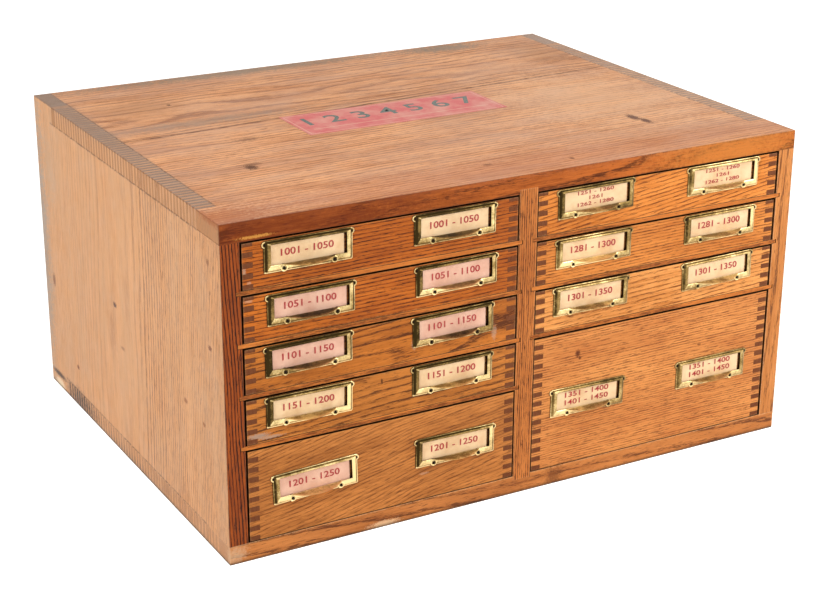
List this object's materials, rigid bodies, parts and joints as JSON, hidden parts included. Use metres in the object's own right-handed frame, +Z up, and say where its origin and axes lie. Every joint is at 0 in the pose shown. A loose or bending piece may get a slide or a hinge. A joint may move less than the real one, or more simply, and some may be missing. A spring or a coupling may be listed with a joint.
{
  "type": "drawer cabinet",
  "caption": "Low table-top cabinet in finger-jointed oak with two columns of shallow drawers and a deeper drawer under each, with brass card-holder pulls.",
  "frame": {"origin": "middle of the flat underside", "axes": "+X to the right seen from the front, +Y from the drawer fronts to the back, +Z up"},
  "size_m": [0.61, 0.4878, 0.3182],
  "materials": {
    "oak_case": "aged clear varnish on oak boards, worn at the edges",
    "oak_fronts": "aged clear varnish on oak drawer fronts",
    "oak_drawer_walls": "bare oak, dull, end grain darkened at the front",
    "oak_shelves": "thin oak board, waxed by wear",
    "drawer_floor": "thin plywood, bare",
    "back_board": "thin plywood, aged varnish",
    "brass": "stamped brass, tarnished and rubbed bright at the edges",
    "card": "aged cream card, printed with plain numbers",
    "label": "faded red paper label, worn at its edges",
    "nail_steel": "dull steel nails"
  },
  "bodies": {
    "cabinet": {"back_nails": "nail_steel", "back_panel": "back_board", "cabinet_bottom": "oak_case", "cabinet_top": "oak_case", "centre_divider": "oak_case", "left_shelf_1": "oak_shelves", "left_shelf_2": "oak_shelves", "left_shelf_3": "oak_shelves", "left_shelf_4": "oak_shelves", "left_side": "oak_case", "right_shelf_1": "oak_shelves", "right_shelf_2": "oak_shelves", "right_shelf_3": "oak_shelves", "right_side": "oak_case", "top_label": "label"},
    "left_drawer_1": {"left_drawer_1_bottom": "drawer_floor", "left_drawer_1_cards": "card", "left_drawer_1_front": "oak_fronts", "left_drawer_1_pulls": "brass", "left_drawer_1_sides_and_back": "oak_drawer_walls"},
    "left_drawer_2": {"left_drawer_2_bottom": "drawer_floor", "left_drawer_2_cards": "card", "left_drawer_2_front": "oak_fronts", "left_drawer_2_pulls": "brass", "left_drawer_2_sides_and_back": "oak_drawer_walls"},
    "left_drawer_3": {"left_drawer_3_bottom": "drawer_floor", "left_drawer_3_cards": "card", "left_drawer_3_front": "oak_fronts", "left_drawer_3_pulls": "brass", "left_drawer_3_sides_and_back": "oak_drawer_walls"},
    "left_drawer_4": {"left_drawer_4_bottom": "drawer_floor", "left_drawer_4_cards": "card", "left_drawer_4_front": "oak_fronts", "left_drawer_4_pulls": "brass", "left_drawer_4_sides_and_back": "oak_drawer_walls"},
    "left_drawer_5": {"left_drawer_5_bottom": "drawer_floor", "left_drawer_5_cards": "card", "left_drawer_5_front": "oak_fronts", "left_drawer_5_pulls": "brass", "left_drawer_5_sides_and_back": "oak_drawer_walls"},
    "right_drawer_1": {"right_drawer_1_bottom": "drawer_floor", "right_drawer_1_cards": "card", "right_drawer_1_front": "oak_fronts", "right_drawer_1_pulls": "brass", "right_drawer_1_sides_and_back": "oak_drawer_walls"},
    "right_drawer_2": {"right_drawer_2_bottom": "drawer_floor", "right_drawer_2_cards": "card", "right_drawer_2_front": "oak_fronts", "right_drawer_2_pulls": "brass", "right_drawer_2_sides_and_back": "oak_drawer_walls"},
    "right_drawer_3": {"right_drawer_3_bottom": "drawer_floor", "right_drawer_3_cards": "card", "right_drawer_3_front": "oak_fronts", "right_drawer_3_pulls": "brass", "right_drawer_3_sides_and_back": "oak_drawer_walls"},
    "right_drawer_4": {"right_drawer_4_bottom": "drawer_floor", "right_drawer_4_cards": "card", "right_drawer_4_front": "oak_fronts", "right_drawer_4_pulls": "brass", "right_drawer_4_sides_and_back": "oak_drawer_walls"}
  },
  "joints": [
    {"name": "left_drawer_1_slide", "type": "slide", "parent": "cabinet", "child": "left_drawer_1", "axis": [0, -1, 0], "range_m": [0, 0.36]},
    {"name": "left_drawer_2_slide", "type": "slide", "parent": "cabinet", "child": "left_drawer_2", "axis": [0, -1, 0], "range_m": [0, 0.36]},
    {"name": "left_drawer_3_slide", "type": "slide", "parent": "cabinet", "child": "left_drawer_3", "axis": [0, -1, 0], "range_m": [0, 0.36]},
    {"name": "left_drawer_4_slide", "type": "slide", "parent": "cabinet", "child": "left_drawer_4", "axis": [0, -1, 0], "range_m": [0, 0.36]},
    {"name": "left_drawer_5_slide", "type": "slide", "parent": "cabinet", "child": "left_drawer_5", "axis": [0, -1, 0], "range_m": [0, 0.36]},
    {"name": "right_drawer_1_slide", "type": "slide", "parent": "cabinet", "child": "right_drawer_1", "axis": [0, -1, 0], "range_m": [0, 0.36]},
    {"name": "right_drawer_2_slide", "type": "slide", "parent": "cabinet", "child": "right_drawer_2", "axis": [0, -1, 0], "range_m": [0, 0.36]},
    {"name": "right_drawer_3_slide", "type": "slide", "parent": "cabinet", "child": "right_drawer_3", "axis": [0, -1, 0], "range_m": [0, 0.36]},
    {"name": "right_drawer_4_slide", "type": "slide", "parent": "cabinet", "child": "right_drawer_4", "axis": [0, -1, 0], "range_m": [0, 0.36]}
  ]
}
